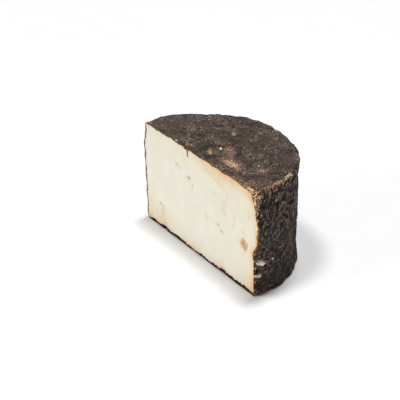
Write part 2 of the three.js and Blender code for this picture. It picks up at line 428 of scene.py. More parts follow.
def eye_depth(x, z):
    """How deep the eyes and marks open in the cut face, and how ochre they are, with painted shade towards
    their top and a painted highlight in their middle.
    """
    depth, ochre_and_painted_light = 0 * x, 0 * x
    for number, (eye_x, eye_z, across, up, deep, lean, tint) in enumerate(EYES):
        off_x, off_z = turned(x - eye_x, z - eye_z, lean)
        ragged = plane_noise(x / EYE_RAGGED_SIZE, z / EYE_RAGGED_SIZE, SEEDS["eyes"] + number)
        reach = np.hypot(off_x / across, off_z / up) + EYE_RAGGEDNESS * ragged
        depth = np.maximum(depth, deep * smooth_step(1 - reach, 0, EYE_SLOPE))
        # More ochre towards an eye's top is painted shade under its upper rim; less in its middle is a
        # painted highlight
        climb, middle = np.clip(off_z / up, -1, 1), hump(reach, 0.1, 0.4)
        tint_with_painted_light = tint * (0.8 + 0.2 * climb - 0.5 * middle)
        ochre_and_painted_light = np.maximum(ochre_and_painted_light, tint_with_painted_light * smooth_step(1.1 - reach, 0, 0.25))
    return depth, ochre_and_painted_light


def soft_patches(patches, x, z):
    """How strongly soft oval patches of the cut face cover each point."""
    share = 0 * x
    for *oval, strength in patches:
        share = np.maximum(share, strength * hump(oval_reach(x, z, oval), 0, 1))
    return share


def shape(a, b, c):
    """Carries points of the block -1..1 by 0..1 by 0..1 to the half wheel. Returns each point's fields."""
    share, turn = to_half_disc(a, b)
    level = (crowd(2 * c - 1, ROW_CROWDING) + 1) / 2
    radius, height, rim = wheel_section(share, level, turn)
    out_share, up_share = radius / WHEEL_RADIUS, height / RIM_HEIGHT
    fine = side_relief(turn, height)
    tear, torn = tear_level(turn, height)
    reach = radius * (1 + side_push(turn, height) / WHEEL_RADIUS)
    reach = reach + out_share**RELIEF_DEPTH_POWER * wave_height(SIDE_WAVES, turn * WHEEL_RADIUS, height)
    reach = reach + out_share**FINE_RELIEF_POWER * (fine * (1 - torn) + tear)
    x = reach * np.cos(turn)
    y = reach * np.sin(turn) * (1 + CUT_PAST_MIDDLE / WHEEL_RADIUS)
    lumps = top_relief(x, y)
    z = height + up_share**2 * top_lift(x, y) + (1 - up_share) ** RELIEF_DEPTH_POWER * base_lift(x, y)
    z = z + up_share**FINE_RELIEF_POWER * lumps + (1 - up_share) ** FINE_RELIEF_POWER * base_hollows(x, y)
    depth, ochre_and_painted_light = eye_depth(x, z)
    y = y + depth * np.exp(-y / EYE_FADE)
    rim_out = radius - (WHEEL_RADIUS - RIM_MIDDLE * rim)
    rim_up = height - (RIM_HEIGHT - RIM_MIDDLE * rim)
    return {
        "x": x,
        "y": y,
        "z": z,
        "turn": turn,
        "out": out_share,
        "rim": np.hypot(rim_out, rim_up),
        "relief": np.where(up_share > TOP_BEGINS, lumps, fine),
        "ochre_and_painted_light": ochre_and_painted_light,
        "side": 1 - smooth_step(up_share, *SIDE_TO_TOP),
        "calm": 1 - above_foot(height, CALM_FADE),
    }


# The block's stations, and the patches of its skin as lists of faces


def station(i, j, k):
    """The number of the block's station i along, j back and k up."""
    return (i * (RINGS + 1) + j) * (ROWS + 1) + k


def quads(first, second, key):
    """The four-cornered faces of a grid of stations."""
    u, v = np.meshgrid(np.arange(first), np.arange(second), indexing="ij")
    corners = [(u, v), (u + 1, v), (u + 1, v + 1), (u, v + 1)]
    return np.stack([key(s, t) for s, t in corners], -1).reshape(-1, 4).tolist()


def side_station(step, k):
    """The station that lies step places round the side from the cut's +X edge."""
    i = np.clip(3 * RINGS - step, 0, 2 * RINGS)
    j = np.minimum(np.minimum(step, 4 * RINGS - step), RINGS)
    return station(i, j, k)


def base_faces():
    """The base's faces, coarser than the rest, with every station of its border taken in."""
    faces = []
    for i in range(0, 2 * RINGS, BASE_STEP):
        for j in range(0, RINGS, BASE_STEP):
            corners = [(i, j), (i, j + BASE_STEP), (i + BASE_STEP, j + BASE_STEP), (i + BASE_STEP, j)]
            ring = []
            for (i0, j0), (i1, j1) in zip(corners, corners[1:] + corners[:1]):
                on_border = (i0 == i1 and i0 in (0, 2 * RINGS)) or (j0 == j1 and j0 in (0, RINGS))
                steps = BASE_STEP if on_border else 1
                ring += [(i0 + (i1 - i0) * s // steps, j0 + (j1 - j0) * s // steps) for s in range(steps)]
            faces.append([station(p, q, 0) for p, q in ring])
    return faces


def skin_patches():
    """The faces of each patch of the block's skin, as lists of stations."""
    return {
        "side": quads(4 * RINGS, ROWS, side_station),
        "top": quads(2 * RINGS, RINGS, lambda i, j: station(i, j, ROWS)),
        "base": base_faces(),
        "cut": quads(2 * RINGS, ROWS, lambda i, k: station(i, 0, k)),
    }


# What the rind and the paste look like from place to place

STAIN_RAGGED = (0.3, 2.6)  # how ragged the border of a stain is, and how large its ragged parts are


def stain_field(stains, u, v, seed):
    """How far inside the nearest ragged stain points lie: 1 in its middle, 0 at its border, less outside."""
    field = 0 * u - 1
    for number, (*oval, strength) in enumerate(stains):
        reach = ragged_reach(u, v, oval, *STAIN_RAGGED, seed + number)
        field = np.maximum(field, strength * (1 - reach) - (1 - strength))
    return field


# Stains of the top: x, y, half sizes along and across, heading, strength
TOP_STAINS = {
    "ochre_rind": [(89, 1.2, 7, 3.4, 0, 0.95), (79, 0.6, 5, 1.4, 0, 0.6)],
    "olive": [(90, 29, 4, 2, 120, 0.5)],
    "tan": [
        (35.5, 15.6, 11, 4.2, -2, 0.95),
        (3, 12.4, 4.8, 2.5, 147, 0.95),
        (-17.3, 53.8, 4.4, 2.4, 147, 0.9),
        (20.6, 13.8, 4.2, 1.8, 20, 0.4),
        (84, 9, 4, 3, 147, 0.5),
    ],
    "rust": [
        (11.8, 28.4, 12, 6, 147, 1),
        (24, 22, 9, 4, 147, 0.8),
        (36, 16, 18, 9, -2, 0.95),
        (66, 3.4, 12, 5, 8, 0.95),
        (78, 8, 12, 6, 40, 0.95),
        (61, 29, 12, 8, 147, 0.8),
        (74, 27, 6, 5, 30, 0.6),
        (-24, 5, 12, 4, 0, 0.7),
        (-42, 18, 14, 6, 147, 0.6),
        (38, 47, 8, 4, 30, 0.5),
        (50, 9, 9, 5, 0, 0.6),
        (-2, 36, 10, 5, 147, 0.5),
        (-92, 1.5, 4, 2, 0, 1),
        (-80, 4, 8, 3, 20, 0.6),
    ],
    "amber": [
        (45, 0.6, 36, 1.1, 0, 0.75),
        (79, 4, 7, 3, 30, 0.6),
        (-90, 2, 5, 2, 0, 0.7),
        (47, 47, 9, 5, 147, 0.5),
    ],
    "slate": [
        (50, 66, 14, 6, 147, 0.9),
        (14.6, 71, 11, 5, 147, 0.8),
        (-69, 33, 8, 7, 147, 0.8),
        (-42, 48, 7, 6, 147, 0.6),
        (-20, 76, 12, 8, 20, 0.6),
    ],
    "cream": [
        (2.1, 25.3, 1.7, 1.2, 147, 1),
        (-38.6, 1.2, 3.4, 1.3, 0, 0.62),
        (-32, 3, 3.6, 1.1, 150, 0.5),
        (82, 1.6, 2.6, 0.9, 0, 0.7),
        (86, 7, 1.8, 1.1, 147, 0.7),
        (52, 34, 1.4, 0.8, 147, 0.7),
    ],
    "dark": [
        (-21.5, 66, 6, 4, 0, 0.9),
        (-30, 62, 5, 3, 0, 0.9),
        (9, 7, 9, 4, 147, 0.9),
        (-62, 52, 7, 4, 30, 0.6),
        (-6, 30, 5, 3, 60, 0.6),
        (2, 48, 6, 3, 0, 0.6),
        (-52, 74, 9, 4, 30, 0.6),
        (22, 32, 8, 3, 147, 0.7),
        (52, 20, 10, 5, 147, 0.5),
        (48, 50, 20, 10, 147, 0.55),
        (24, 31.5, 6.5, 2.3, 100, 1),
        (69, 46.5, 6, 2.3, 101, 1),
        (40, 56, 8, 2.2, 26, 1),
        (-8, 22, 6, 2.1, 60, 0.95),
        (-45, 30, 7, 2.1, 120, 0.95),
    ],
}
# Stains of the side, with painted shade among them: turn, height, half sizes along and up, lean, strength
SIDE_STAINS = {
    "amber": [
        (0.6, 60, 1.7, 24, 0, 0.9),
        (3, 101, 5, 4, 10, 0.6),
        (0.6, 28, 1.2, 6, 0, 0.8),
        (0.4, 6, 1.6, 5, 0, 0.7),
        (7, 30, 5, 2.6, 20, 0.5),
    ],
    "slate": [(14, 60, 10, 16, 30, 0.6), (40, 80, 12, 10, 45, 0.5), (100, 50, 22, 18, 20, 0.6)],
    "ochre_rind": [
        (0.6, 103.5, 5, 6.5, 0, 1),
        (0.3, 94, 2.8, 9, 0, 0.95),
        (0, 62, 0.9, 24, 0, 0.8),
    ],
    "tan": [
        (0.4, 2.2, 2.6, 3, 0, 0.7),
        (12.4, 34.2, 3.2, 2.0, 40, 0.6),
        (7.4, 37.2, 4, 0.8, 30, 0.7),
        (10.2, 27.6, 6, 1.0, 8, 0.5),
        (4.6, 28.2, 4.5, 2, 12, 0.55),
        (9.2, 30.6, 4, 1.5, 35, 0.6),
    ],
    "rust": [
        (2.2, 70, 2.2, 18, 0, 0.5),
        (5.0, 28, 7, 4.4, 12, 1),
        (8, 104, 7, 3, 20, 0.6),
        (10.5, 30.6, 7, 3.4, 20, 0.8),
        (3.5, 17, 5, 3, 0, 0.6),
        (1, 3, 4, 5, 0, 0.6),
        (30, 55, 10, 16, 0, 0.35),
        (3.4, 45, 5, 7, 0, 0.7),
    ],
    "olive": [
        (2.2, 21.4, 5.6, 2.1, -13, 1),
        (-0.4, 23.4, 2.4, 1.8, 0, 0.9),
        (24, 84, 6, 10, 30, 0.3),
        (14.5, 102.6, 4.8, 1.0, 15, 0.75),
    ],
    "cream": [
        (3.7, 35, 4.3, 2.4, -13, 1),
        (2.8, 21.2, 4, 1.3, -13, 0.95),
        (1.6, 28.6, 0.8, 2.4, 14, 0.85),
        (0.8, 14.6, 0.8, 1.8, 0, 0.7),
        (11, 5, 0.9, 0.9, 0, 0.7),
        (12.4, 34.4, 1.3, 0.9, 20, 0.8),
        (7.8, 30, 2.4, 0.5, 40, 0.55),
    ],
    # Most of these dark patches are painted shade, in the torn hollow and under the flakes
    "dark": [
        (2.8, 46, 8, 9, 0, 0.9),
        (4.6, 24.8, 6, 1.4, 8, 1),
        (10, 24.6, 9, 1.8, 14, 1),
        (3.6, 31.4, 5.5, 1.1, -13, 0.9),
        (8.4, 41, 5, 2, 20, 0.7),
        (5, 94, 5, 8, 10, 0.8),
    ],
}


# Where the top's rim is worn to each colour: turn, spread, strength
RIM_WEAR = {
    "ochre_rind": [(0, 5, 1), (54.4, 3, 0.7)],
    "olive": [(28, 6, 0.8), (150, 30, 0.4)],
    "tan": [(19, 9, 0.6)],
    "rust": [(13, 13, 1.1)],
}
RIM_WEAR_WIDTH = 2.4
RIM_WEAR_GAIN = 1.7
RIM_WEAR_START = 0.7


def fleck_share(at, rim):
    """Where pale flecks are scattered: up the cut's +X edge, on its top corner and on the rim beside it."""
    degrees = np.degrees(at["turn"])
    skin = smooth_step(at["out"], 0.9, 0.96)
    edge = hump(degrees, 0, 1.6) * smooth_step(at["z"], 34, 80)
    corner = hump(degrees, 0, 3.6) * smooth_step(at["z"], 84, 96)
    beside = hump(degrees, 15, 25) * rim
    return skin * np.clip(0.5 * edge + corner + 0.3 * beside, 0, 1)


def rind_fields(at):
    """The rind's stains, with the side's painted shade among them, and where pale flecks are scattered on it.
    """
    fields = {}
    around = at["turn"] * WHEEL_RADIUS
    on_top = at["side"] < 0.5
    for number, kind in enumerate(TOP_STAINS):
        later = STAIN_SEED_STEP * number
        top = stain_field(TOP_STAINS[kind], at["x"], at["y"], SEEDS["top_stains"] + later)
        placed = [(on_rind(turn), *rest) for turn, *rest in SIDE_STAINS[kind]]
        side = stain_field(placed, around, at["z"], SEEDS["side_stains"] + later)
        fields[kind] = np.where(on_top, top, side)
    degrees = np.degrees(at["turn"])
    rim = hump(at["rim"], 0, RIM_WEAR_WIDTH)
    for kind, places in RIM_WEAR.items():
        worn = sum(strength * hump(degrees, turn, spread) for turn, spread, strength in places)
        fields[kind] = np.maximum(fields[kind], RIM_WEAR_GAIN * rim * worn - RIM_WEAR_START)
    fields["flecks"] = fleck_share(at, rim)
    return fields


# Along each edge of the cut: the thickness and colour of the rind in section, and the strength, reach and
# colour of the stain that it leaves in the paste. Along the foot the section is partly painted contact
# shadow.
SECTIONS = {
    "top": (1.4, (100, 61, 35), 1.2, 6.4, (240, 200, 150)),
    # near-black and thick: the rind's section and painted contact shadow under the cut's bottom edge
    "foot": (3.0, (5, 4, 3), 1.35, 5.0, (242, 200, 156)),
    "near": (1.1, (140, 86, 46), 1.1, 3.8, (236, 196, 130)),
    "far": (2.0, (72, 56, 42), 0.7, 2.8, (226, 206, 150)),
}
# Where the section is thicker or thinner than usual: x, spread, how much, as a share of its thickness
THICKER = {"top": (-19, 10, 1.7), "foot": (-5, 16, -0.4)}
SECTION_BLEND = 2.5  # the colours of two edges' sections run into each other over this far
INSIDE_MOST = 20.0
FAINT = 1e-6  # gives each stain's colour a say where none reaches


def srgb(colour):
    """A colour given in 8-bit sRGB, as linear numbers."""
    value = np.array(colour, float) / 255
    return np.where(value <= 0.04045, value / 12.92, ((value + 0.055) / 1.055) ** 2.4)


def edge_distances(x, z, cut_edges):
    """How far each point of the cut face lies inside its four edges."""
    (top_x, top_z), (foot_x, foot_z), (near_x, near_z), (far_x, far_z) = cut_edges
    return {
        "top": np.interp(x, top_x, top_z) - z,
        "foot": z - np.interp(x, foot_x, foot_z),
        "near": np.interp(z, near_z, near_x) - x,
        "far": x - np.interp(z, far_z, far_x),
    }


def stain_warmth(x, z):
    """How strong the stain in the paste is along each edge of the cut."""
    foot_noise = np.clip(rough_noise(x, 0 * x, 26, 2, SEEDS["foot_warmth"]), -0.8, 1)
    top_corner, foot_corner = smooth_step(z, 88, 104), 1 - smooth_step(z, 10, 34)
    return {
        "top": 0.45 + 0.75 * hump(x, 45, 45),
        "foot": 0.7 + 0.5 * foot_noise + 0.3 * hump(x, -66, 10),
        "near": 0.8 + 0.7 * top_corner + 0.3 * hump(z, 60, 20) + 0.5 * foot_corner,
        "far": 1 + 0 * x,
    }


def cut_fields(at, cut_edges):
    """The rind's section and the stained paste inside it, at each point of the cut face."""
    x, z = at["x"], at["z"]
    distances = edge_distances(x, z, cut_edges)
    warmth = stain_warmth(x, z)
    inside, glow, weights, section, tint = FAR + 0 * x, 0 * x, 0 * x, 0.0, 0.0
    for edge, (thickness, colour, strength, reach, stain) in SECTIONS.items():
        spot, spread, more = THICKER.get(edge, (0, 1, 0))
        distance = np.maximum(distances[edge], 0)
        inside = np.minimum(inside, distance / (thickness * (1 + more * hump(x, spot, spread))))
        near = np.exp(-distance / SECTION_BLEND)
        fade = strength * warmth[edge] * np.exp(-distance / reach)
        section = section + near[:, None] * srgb(colour)
        weights = weights + near
        glow = glow + fade
        tint = tint + (fade + FAINT)[:, None] * srgb(stain)
    return {
        "inside": np.minimum(inside, INSIDE_MOST),
        "glow": np.minimum(glow, 1),
        "section": section / np.maximum(weights, TINY)[:, None],
        "tint": tint / (glow + len(SECTIONS) * FAINT)[:, None],
    }


# Cracks of the cut face, and a reddish drip under its top edge, as chains of points, x and z
CRACKS = [
    [(4.4, 107), (22.5, 97.6), (35.9, 94.8), (44.6, 92.9), (50.1, 84.1), (44, 67)],
    [(-66.7, 26.8), (-64.5, 21), (-67, 12), (-61.4, 5)],
]
CRACK_FULL = (0.08, 0.9)  # the stretch of its way over which a crack has its full strength
CRACK_FADE = (3, 6)  # distances over which it gives way to the next crack
DRIP = [(-16.4, 108.4), (-17.2, 104), (-16.8, 101.6)]
MARK_REACH = 9.0  # distances to a crack or to the drip aren't told apart beyond this


def chain_places(chain, x, z):
    """Each point's distance to a chain, its sign telling the side it lies on, and its way along the chain."""
    nearest, signed, way = FAR + 0 * x, FAR + 0 * x, 0 * x
    for number, ((x0, z0), (x1, z1)) in enumerate(zip(chain, chain[1:])):
        length = np.hypot(x1 - x0, z1 - z0)
        along = ((x - x0) * (x1 - x0) + (z - z0) * (z1 - z0)) / length
        across = ((x - x0) * (z1 - z0) - (z - z0) * (x1 - x0)) / length
        distance = np.hypot(across, np.maximum(np.maximum(-along, along - length), 0))
        closer = distance < nearest
        nearest = np.where(closer, distance, nearest)
        signed = np.where(closer, np.where(across < 0, -distance, distance), signed)
        way = np.where(closer, (number + np.clip(along / length, 0, 1)) / (len(chain) - 1), way)
    return signed, way


def mark_fields(x, z):
    """The cut face's cracks, drip, scribbles and yellow stains."""
    side, share = MARK_REACH + 0 * x, 0 * x
    start, end = CRACK_FULL
    for chain in CRACKS:
        signed, way = chain_places(chain, x, z)
        closer = np.abs(signed) < np.abs(side)
        side = np.where(closer, signed, side)
        ends = smooth_step(way, 0, start) * (1 - smooth_step(way, end, 1))
        share = np.where(closer, ends * (1 - smooth_step(np.abs(signed), *CRACK_FADE)), share)
    drip, _ = chain_places(DRIP, x, z)
    return {
        "crack_side": side,
        "crack": share,
        "drip": np.minimum(np.abs(drip), MARK_REACH),
        "scribble": soft_patches(SCRIBBLES, x, z),
        "yellow": soft_patches(YELLOW_STAINS, x, z),
    }


# Where each patch lies on the map that its colours are baked through, in millimetres
MAP_SIZE = 330.0
MAP_GAP = 4.0


def flat_places(at):
    """Each patch laid flat in millimetres, and where its origin goes on the bake's map."""
    x, y, z = at["x"], at["y"], at["z"]
    middle = WHEEL_RADIUS + MAP_GAP
    cut_row = RIM_HEIGHT + 3 * MAP_GAP
    top_row = 2 * cut_row
    base_column = 2 * middle + 3 * MAP_GAP
    return {
        "side": (at["turn"] * WHEEL_RADIUS, z, (MAP_GAP, MAP_GAP)),
        "cut": (x, z, (middle + MAP_GAP, cut_row)),
        "top": (x, y, (middle + MAP_GAP, top_row)),
        "base": (y, x, (base_column, middle + cut_row)),
    }


def add_map(mesh, name, corners, places, size, packed):
    """Adds a UV map of each patch's flat places, on the bake's map or each from its own origin."""
    values = []
    for patch, vertices in corners.items():
        u, v, (shift_u, shift_v) = places[patch]
        values.append(np.stack([u[vertices] + packed * shift_u, v[vertices] + packed * shift_v], -1) / size)
    mesh.uv_layers.new(name=name).uv.foreach_set("vector", np.concatenate(values).astype(np.float32).ravel())


def add_field(mesh, name, values):
    """Stores a number or a colour for each point of the mesh."""
    kind, key = ("FLOAT", "value") if values.ndim == 1 else ("FLOAT_VECTOR", "vector")
    mesh.attributes.new(name, kind, "POINT").data.foreach_set(key, values.astype(np.float32).ravel())


def split_short_and_crisp(mesh):
    """Divides the faces along their shorter diagonals, and keeps the edges of the cut crisp."""
    work = bmesh.new()
    work.from_mesh(mesh)
    bmesh.ops.triangulate(work, faces=work.faces, quad_method="SHORT_EDGE", ngon_method="BEAUTY")
    for edge in work.edges:
        edge.smooth = len({face.material_index for face in edge.link_faces}) == 1
    work.to_mesh(mesh)
    work.free()


def skin_mesh(patches, stations, at):
    """The closed mesh of the patches in the CAD's frame, with its maps and the cut in a slot of its own."""
    number = np.zeros(stations.max() + 1, int)
    number[stations] = np.arange(len(stations))
    faces, slots = [], []
    for patch, keyed in patches.items():
        faces += [number[face].tolist() for face in keyed]
        slots += [int(patch == "cut")] * len(keyed)
    shift = np.array([WHEEL_AXIS_X, cad_low.y / MM, 0])
    points = (np.stack([at["x"], at["y"], at["z"]], -1) + shift) * MM
    mesh = bpy.data.meshes.new("cheese")
    mesh.from_pydata(points.tolist(), [], faces)
    mesh.polygons.foreach_set("material_index", slots)
    mesh.polygons.foreach_set("use_smooth", [True] * len(faces))
    corners = {patch: number[np.concatenate(keyed)] for patch, keyed in patches.items()}
    places = flat_places(at)
    add_map(mesh, "OFBake", corners, places, MAP_SIZE, packed=1)
    add_map(mesh, "Skin", corners, places, 1, packed=0)
    split_short_and_crisp(mesh)
    return mesh


def edge_of_cut(at, chosen):
    """The chosen points along one edge of the cut face, in order, as their x and their z."""
    x, z = at["x"][chosen], at["z"][chosen]
    order = np.argsort(x if np.ptp(x) > np.ptp(z) else z)
    return x[order], z[order]


def cheese_mesh():
    """The half wheel's fine mesh, with the fields that its materials read."""
    patches = skin_patches()
    stations = np.unique(np.concatenate([np.concatenate(faces) for faces in patches.values()]))
    rest, k = np.divmod(stations, ROWS + 1)
    i, j = np.divmod(rest, RINGS + 1)
    at = shape(i / RINGS - 1, j / RINGS, k / ROWS)
    mesh = skin_mesh(patches, stations, at)
    borders = (k == ROWS, k == 0, i == 2 * RINGS, i == 0)
    cut_edges = [edge_of_cut(at, (j == 0) & border) for border in borders]
    fields = {name: at[name] for name in ("relief", "ochre_and_painted_light", "side", "calm")}
    fields.update(rind_fields(at))
    fields.update(cut_fields(at, cut_edges))
    fields.update(mark_fields(at["x"], at["z"]))
    for name, values in fields.items():
        add_field(mesh, name, values)
    return mesh


# Materials


class Shader:
    """A material's node tree, with short calls for the nodes that this scene uses."""

    def __init__(self, name):
        self.material = bpy.data.materials.new(name)
        self.material.use_nodes = True
        self.tree = self.material.node_tree
        self.tree.nodes.clear()

    def node(self, kind, plugs=(), **settings):
        made = self.tree.nodes.new(kind)
        for key, value in settings.items():
            setattr(made, key, value)
        for socket, value in dict(plugs).items():
            self.plug(made.inputs[socket], value)
        return made

    def plug(self, socket, value):
        if isinstance(value, bpy.types.NodeSocket):
            self.tree.links.new(value, socket)
        else:
            socket.default_value = value

    def math(self, operation, first, second=0.0):
        return self.node("ShaderNodeMath", {0: first, 1: second}, operation=operation).outputs[0]

    def times(self, first, second):
        return self.math("MULTIPLY", first, second)

    def total(self, *parts):
        """The sum of (value, share) pairs."""
        result = 0.0
        for value, share in parts:
            result = self.math("ADD", result, self.times(value, share))
        return result

    def between(self, value, low, high, start=0.0, end=1.0):
        """Runs smoothly from start to end while the value runs from low to high."""
        plugs = {"Value": value, "From Min": low, "From Max": high, "To Min": start, "To Max": end}
        return self.node("ShaderNodeMapRange", plugs, interpolation_type="SMOOTHSTEP").outputs["Result"]

    def even(self, noise):
        """A noise's middle range, spread over -1 to 1."""
        return self.between(noise, 0.3, 0.7, -1, 1)

    def line(self, noise, width):
        """Thin winding lines, where a noise passes its middle."""
        return self.between(self.math("ABSOLUTE", self.even(noise)), 0, width, 1, 0)

    def along(self, heading, stretch=4.0):
        """The place on the laid-out skin, stretched along a heading."""
        skin = self.node("ShaderNodeUVMap", uv_map="Skin").outputs[0]
        plugs = {"Vector": skin, "Rotation": (0, 0, np.radians(heading)), "Scale": (stretch, 1, 1)}
        return self.node("ShaderNodeMapping", plugs, vector_type="TEXTURE").outputs[0]

    def moved(self, place, shift):
        """The place moved aside, where another part of the same noise is found."""
        return self.node("ShaderNodeVectorMath", {0: place, 1: (shift, 0, 0)}).outputs[0]

    def mix(self, share, first, second):
        mixed = self.node("ShaderNodeMix", {0: share}, data_type="RGBA")
        for socket, colour in ((mixed.inputs[6], first), (mixed.inputs[7], second)):
            self.plug(socket, colour if isinstance(colour, bpy.types.NodeSocket) else (*srgb(colour), 1))
        return mixed.outputs[2]

    def field(self, name, output="Fac"):
        return self.node("ShaderNodeAttribute", attribute_name=name).outputs[output]

    def place(self):
        """The place on the object, in millimetres."""
        metres = self.node("ShaderNodeTexCoord").outputs["Object"]
        return self.node("ShaderNodeVectorMath", {0: metres, "Scale": 1 / MM}, operation="SCALE").outputs[0]

    def noise(self, place, size, detail=2.0, roughness=0.5, distortion=0.0):
        plugs = {"Vector": place, "Scale": 1 / size, "Detail": detail, "Roughness": roughness}
        plugs["Distortion"] = distortion
        return self.node("ShaderNodeTexNoise", plugs).outputs["Fac"]

    def dots(self, place, spacing, reach, density):
        """Scattered dots: 1 within reach of a cell's middle, in the share of the cells that density gives."""
        cells = self.node("ShaderNodeTexVoronoi", {"Vector": place, "Scale": 1 / spacing})
        lot = self.node("ShaderNodeSeparateColor", {0: cells.outputs["Color"]}).outputs[0]
        chosen = self.math("LESS_THAN", lot, density)
        round_share = self.between(cells.outputs["Distance"], reach * 0.6 / spacing, reach / spacing, 1, 0)
        return self.times(round_share, chosen)

    def ramp(self, value, stops):
        """A ramp through (position, colour) stops."""
        made = self.node("ShaderNodeValToRGB", {"Fac": value})
        while len(made.color_ramp.elements) < len(stops):
            made.color_ramp.elements.new(0.5)
        for element, (position, colour) in zip(made.color_ramp.elements, stops):
            element.position, element.color = position, (*srgb(colour), 1)
        return made.outputs["Color"]

    def bump(self, height, depth, under=None):
        """A bump whose height runs over depth, in millimetres."""
        plugs = {"Height": height, "Strength": 1.0, "Distance": depth * MM}
        if under is not None:
            plugs["Normal"] = under
        return self.node("ShaderNodeBump", plugs).outputs["Normal"]

    def finish(self, colour, roughness, normal, **constants):
        """The material, with its constants set on the shader's own sockets."""
        plugs = {"Base Color": colour, "Roughness": roughness, "Normal": normal}
        plugs.update({name.replace("_", " "): value for name, value in constants.items()})
        surface = self.node("ShaderNodeBsdfPrincipled", plugs).outputs["BSDF"]
        self.node("ShaderNodeOutputMaterial", {"Surface": surface})
        return self.material


# The rind's browns, from the painted shade at the bottom of its creases to the painted highlight on its
# crests: tone, colour
RIND_BROWNS = [
    (0.0, (6, 4, 3)),
    (0.3, (28, 22, 17)),
    (0.52, (61, 51, 42)),
    (0.75, (105, 92, 79)),
    (1.0, (168, 154, 136)),
]
TOP_TONE = 0.488
SIDE_TONE = 0.35
# How much each pattern adds to the tone of the top and of the side. These paint the relief's light into the
# tone: highlights where the relief, lumps, grain and folds rise, and shade in the furrows and creases.
TOP_MIX = {"lumps": 0.12, "grain": 0.34, "streaks": 0.12, "relief": 0.28, "creases": -0.48, "specks": -0.1}
SIDE_MIX = {"lumps": 0.14, "grain": 0.26, "folds": 0.36, "furrows": -0.34, "relief": 0.5, "creases": -0.12}
TOP_STREAK_HEADING = 109.0
# Broad tints of the rind: shift of their noise, size, range of the noise, strength, colour
RIND_TINTS = [
    (0, 12, 0.5, 0.66, 0.5, (98, 76, 68)),
    (90, 11, 0.5, 0.68, 0.5, (62, 58, 53)),
    (170, 8, 0.56, 0.7, 0.3, (78, 71, 52)),
    (240, 7, 0.5, 0.64, 0.35, (86, 70, 72)),
]
SIDE_TINT_LOSS = 0.55  # how much weaker the tints are on the side
STAIN_STOPS = (0.22, 0.5, 0.8)  # the texture's values that take a stain's dark, middle and pale colours
# Local stains of the rind: field, its dark, middle and pale colours, range of the field, strength
RIND_STAINS = [
    ("slate", [(50, 46, 44), (74, 69, 66), (100, 94, 90)], -0.4, 0.5, 0.7),
    # On the side the dark stain is mostly painted shade, in the torn hollow and under the flakes
    ("dark", [(8, 6, 5), (24, 18, 15), (62, 52, 44)], -0.2, 0.7, 0.75),
    ("rust", [(48, 30, 24), (114, 82, 70), (194, 158, 140)], -0.3, 0.6, 0.8),
    ("amber", [(34, 18, 9), (138, 84, 46), (226, 166, 108)], -0.3, 0.5, 0.85),
    ("tan", [(100, 68, 48), (184, 140, 104), (228, 198, 160)], -0.25, 0.5, 0.9),
    ("olive", [(96, 82, 46), (204, 186, 130), (240, 228, 186)], -0.2, 0.5, 0.85),
    ("ochre_rind", [(110, 68, 36), (226, 172, 104), (255, 232, 190)], -0.2, 0.4, 0.95),
    ("cream", [(228, 212, 188), (255, 248, 238), (255, 253, 248)], -0.1, 0.2, 1.0),
]
# Brown of the painted shade in the gaps between crumbs
GAP_SHADE_BROWN = (60, 36, 18)
CRUMB_CREAM = (255, 236, 200)
# Grey of the dust, which also paints glints
DUST_AND_GLINT_GREY = (184, 174, 162)
# Brown of the painted shade in pits
PIT_SHADE_BROWN = (24, 17, 13)


def rind_patterns(s, place, noises):
    """The rind's patterns by name: noises over about -1 to 1, and lines and specks over 0 to 1."""
    patterns = {name: s.even(noise) for name, noise in noises.items()}
    furrows = s.noise(s.along(FOLD_HEADING), 2.3, roughness=0.55, distortion=0.4)
    creases = s.noise(s.moved(place, 30), 5, detail=3, roughness=0.6, distortion=0.8)
    cracked = s.between(s.noise(s.moved(place, 80), 9), 0.46, 0.58, 0.2, 1)
    # The furrows and creases are thin dark lines of painted shade in the rind's creases
    patterns["furrows"] = s.line(furrows, width=0.3)
    patterns["creases"] = s.times(s.line(creases, width=0.14), cracked)
    patterns["specks"] = s.between(noises["grain"], 0.36, 0.42, 1, 0)
    # The mesh's relief, read into the tone as painted shade and highlight
    patterns["relief"] = s.field("relief")
    return patterns


def rind_tone(s, place, patterns):
    """How pale the rind is from place to place, before its tints and stains. The shade and highlights of its
    relief are painted into it.
    """
    side, calm = s.field("side"), s.field("calm")
    spot = s.node("ShaderNodeSeparateXYZ", {0: place}).outputs
    top_detail = s.total((0.02, 1), *((patterns[name], share) for name, share in TOP_MIX.items()))
    side_detail = s.total((0.06, 1), *((patterns[name], share) for name, share in SIDE_MIX.items()))
    broad = s.even(s.noise(place, 16))
    far_end = s.between(spot["X"], -90, -20, 1, 0)
    rough = s.between(s.noise(s.moved(place, 60), 14), 0.38, 0.6, 0.45, 1.3)
    top = s.total((TOP_TONE, 1), (far_end, 0.055), (broad, 0.05), (s.times(top_detail, rough), 1))
    broad = s.even(s.noise(place, 12))
    high = s.between(spot["Z"], 50, 95)
    rough = s.total((0.95, 1), (high, 0.45), (calm, -0.12))
    under = s.total((SIDE_TONE, 1), (broad, 0.06), (calm, -0.04), (high, -0.1))
    beside = s.math("ADD", under, s.times(side_detail, rough))
    return s.total((top, 1), (s.times(side, s.math("SUBTRACT", beside, top)), 1))


def rind_tinted(s, place, colour):
    """The colour under the rind's broad tints, which are weaker on the side."""
    weaker = s.total((1.0, 1), (s.field("side"), -SIDE_TINT_LOSS))
    for shift, size, low, high, most, tint in RIND_TINTS:
        share = s.between(s.noise(s.moved(place, shift), size, detail=3, roughness=0.55), low, high, 0, most)
        colour = s.mix(s.times(share, weaker), colour, tint)
    return colour


